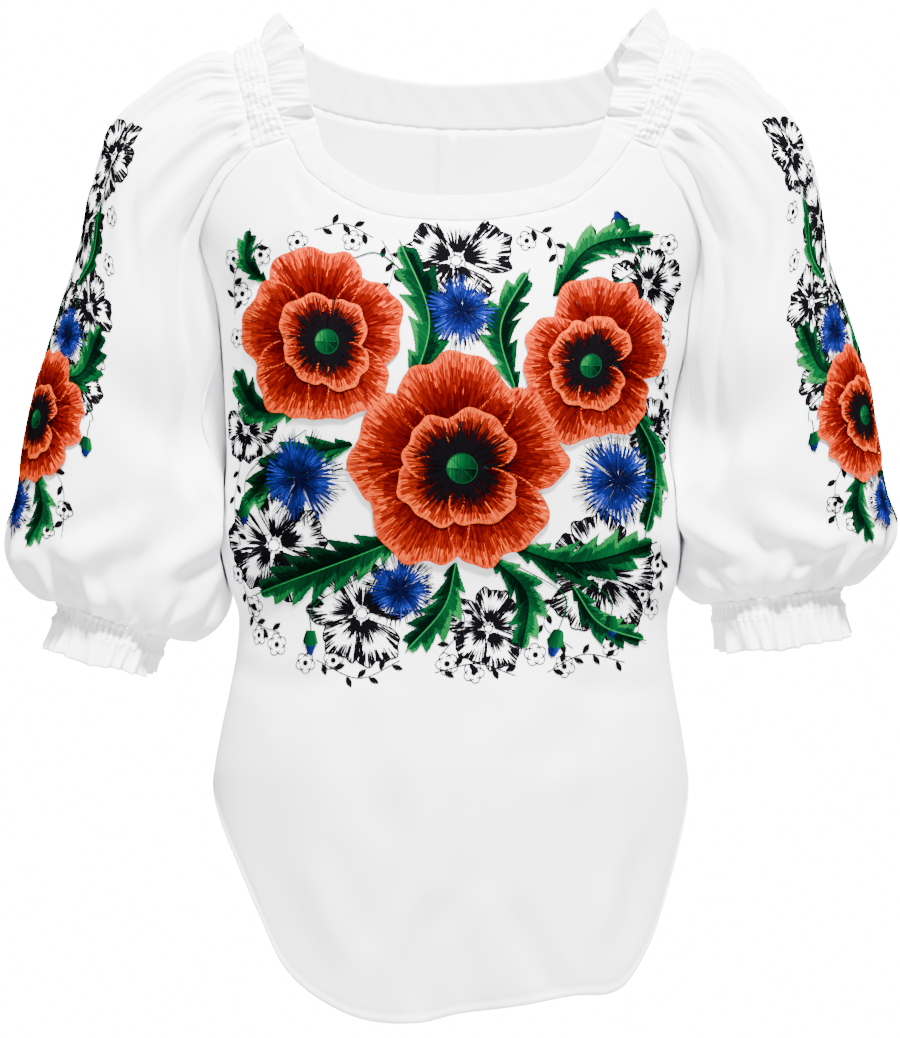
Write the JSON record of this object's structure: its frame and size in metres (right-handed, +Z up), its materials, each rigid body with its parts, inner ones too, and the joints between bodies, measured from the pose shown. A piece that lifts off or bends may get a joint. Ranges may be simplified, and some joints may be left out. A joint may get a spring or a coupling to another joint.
{
  "type": "embroidered folk blouse, in the hollow shape it has when worn",
  "caption": "White raglan blouse with puff sleeves, shirred and frilled at shoulders and cuffs, wide scooped neck and shirt-tail hem.",
  "frame": {"origin": "midway between the wearer's shoulders, level with the tops of the shirred shoulders", "axes": "+Z up along the body, the front faces -Y, the viewer's right is +X"},
  "size_m": [0.6215, 0.2195, 0.7016],
  "materials": {
    "body": "plain woven cotton poplin, soft sheen",
    "sleeve": "plain woven cotton poplin, soft sheen",
    "neckband": "two layers of poplin, topstitched",
    "shirring": "poplin gathered by rows of elastic thread",
    "frill": "poplin frill with a narrow rolled hem"
  },
  "bodies": {
    "root": {"front": "body", "back_left": "body", "back_right": "body", "neckband_front": "neckband", "neckband_back": "neckband", "sleeve_left": "sleeve", "shoulder_shirring_left": "shirring", "shoulder_frill_left": "frill", "cuff_shirring_left": "shirring", "cuff_frill_left": "frill", "sleeve_right": "sleeve", "shoulder_shirring_right": "shirring", "shoulder_frill_right": "frill", "cuff_shirring_right": "shirring", "cuff_frill_right": "frill"}
  },
  "joints": []
}
